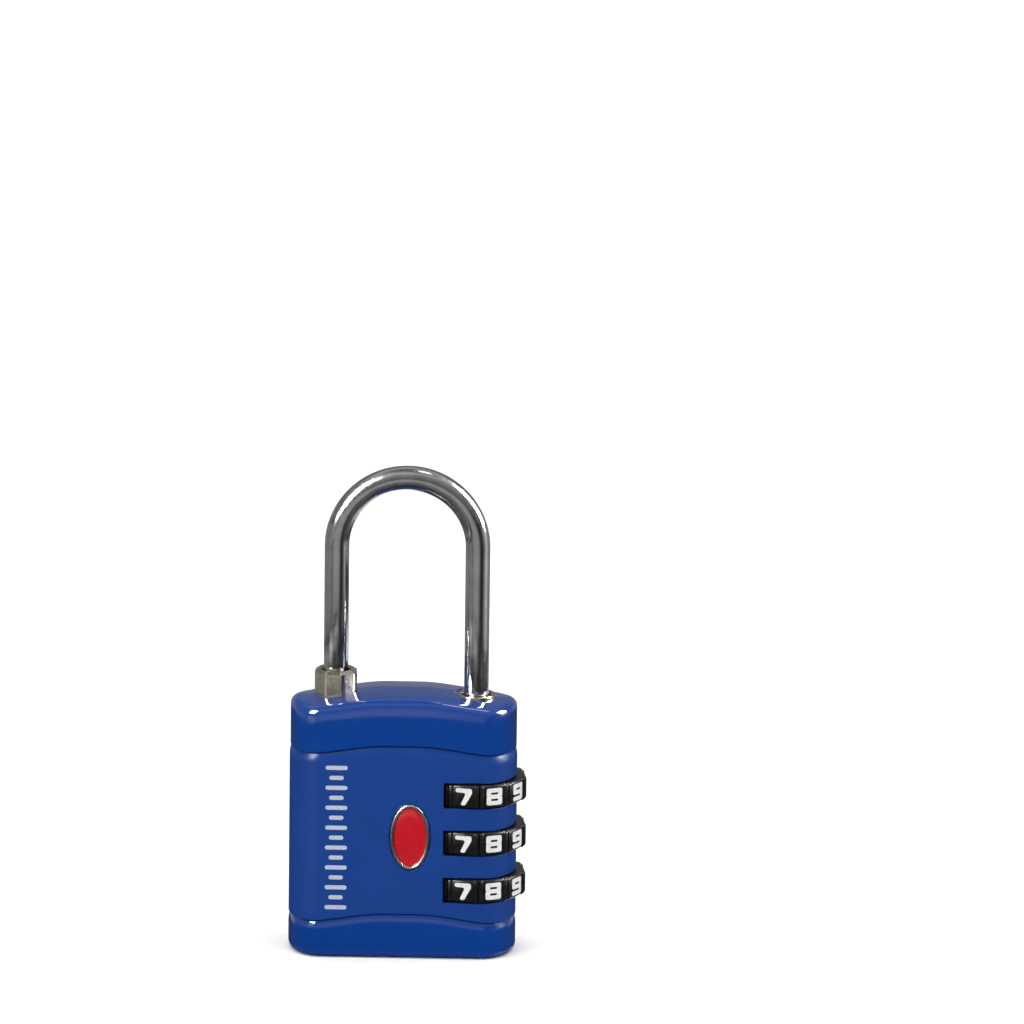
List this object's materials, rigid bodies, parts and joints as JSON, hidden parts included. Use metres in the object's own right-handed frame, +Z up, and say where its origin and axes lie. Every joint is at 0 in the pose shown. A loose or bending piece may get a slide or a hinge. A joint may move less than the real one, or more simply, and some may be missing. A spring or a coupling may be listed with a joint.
{
  "type": "luggage padlock",
  "caption": "Small luggage padlock with a rigid steel shackle, coaxial number dials at one side and a master-key cylinder underneath.",
  "frame": {"origin": "middle of the flat bottom face, where the lock stands", "axes": "+Z up along the shackle's legs, -Y the front that the digits are read from, +X the side where the dials stick out"},
  "size_m": [0.0313, 0.0138, 0.0653],
  "materials": {
    "gloss_blue": "polished moulded plastic",
    "satin_blue": "finely textured satin plastic",
    "dial_black": "satin black plastic",
    "digit_white": "white paint fill",
    "steel": "polished hardened steel",
    "nickel": "bright nickel plate",
    "zinc": "raw zinc die casting",
    "brass": "turned brass",
    "spring_steel": "bright spring steel",
    "silver": "silver paint or foil",
    "badge_red": "clear-coated red resin"
  },
  "bodies": {
    "case": {"front_top_cap": "gloss_blue", "rear_top_cap": "gloss_blue", "front_panel": "satin_blue", "rear_panel": "satin_blue", "bottom_cap": "gloss_blue", "front_chassis": "zinc", "rear_chassis": "zinc", "collar_nut": "nickel", "leg_bush": "nickel", "sleeve_spring": "spring_steel", "detent_leaf": "spring_steel", "key_barrel": "brass", "badge_rim": "silver", "badge_insert": "badge_red", "screw_1": "steel", "screw_2": "steel", "screw_3": "steel", "screw_4": "steel"},
    "shackle": {"shackle": "steel"},
    "dial_1": {"dial_1": "dial_black"},
    "dial_2": {"dial_2": "dial_black"},
    "dial_3": {"dial_3": "dial_black"},
    "sleeve_1": {"sleeve_1": "brass"},
    "sleeve_2": {"sleeve_2": "brass"},
    "sleeve_3": {"sleeve_3": "brass"},
    "key_plug": {"key_plug": "brass", "wafer_1": "brass", "wafer_2": "brass", "wafer_3": "brass", "wafer_4": "brass", "key_cam": "zinc"},
    "release_slide": {"release_slide": "spring_steel"}
  },
  "joints": [
    {"name": "shackle_lift", "type": "slide", "parent": "case", "child": "shackle", "axis": [0, 0, 1], "range_m": [0, 0.009]},
    {"name": "dial_1_turn", "type": "hinge", "parent": "case", "child": "dial_1", "pos_m": [0.0095, 0, 0.0223], "axis": [0, 0, 1], "continuous": true},
    {"name": "dial_2_turn", "type": "hinge", "parent": "case", "child": "dial_2", "pos_m": [0.0095, 0, 0.01585], "axis": [0, 0, 1], "continuous": true},
    {"name": "dial_3_turn", "type": "hinge", "parent": "case", "child": "dial_3", "pos_m": [0.0095, 0, 0.0094], "axis": [0, 0, 1], "continuous": true},
    {"name": "sleeve_1_push", "type": "slide", "parent": "dial_1", "child": "sleeve_1", "axis": [0, 0, -1], "range_m": [0, 0.0013], "stiffness_N_per_m": 200, "springref_m": -0.002},
    {"name": "sleeve_2_push", "type": "slide", "parent": "dial_2", "child": "sleeve_2", "axis": [0, 0, -1], "range_m": [0, 0.0013]},
    {"name": "sleeve_3_push", "type": "slide", "parent": "dial_3", "child": "sleeve_3", "axis": [0, 0, -1], "range_m": [0, 0.0013], "deforming": ["sleeve_spring"]},
    {"name": "key_turn", "type": "hinge", "parent": "case", "child": "key_plug", "pos_m": [-0.0065, 0, 0.0004], "axis": [0, 0, -1], "range_deg": [0, 90]},
    {"name": "release_slide_move", "type": "slide", "parent": "case", "child": "release_slide", "axis": [1, 0, 0], "range_m": [0, 0.00283]}
  ],
  "couplings": [
    {"joint": "sleeve_2_push", "follows": "sleeve_1_push", "ratio": 1},
    {"joint": "sleeve_3_push", "follows": "sleeve_1_push", "ratio": 1},
    {"joint": "key_turn", "follows": "release_slide_move", "rad_per_m": 555.36}
  ]
}
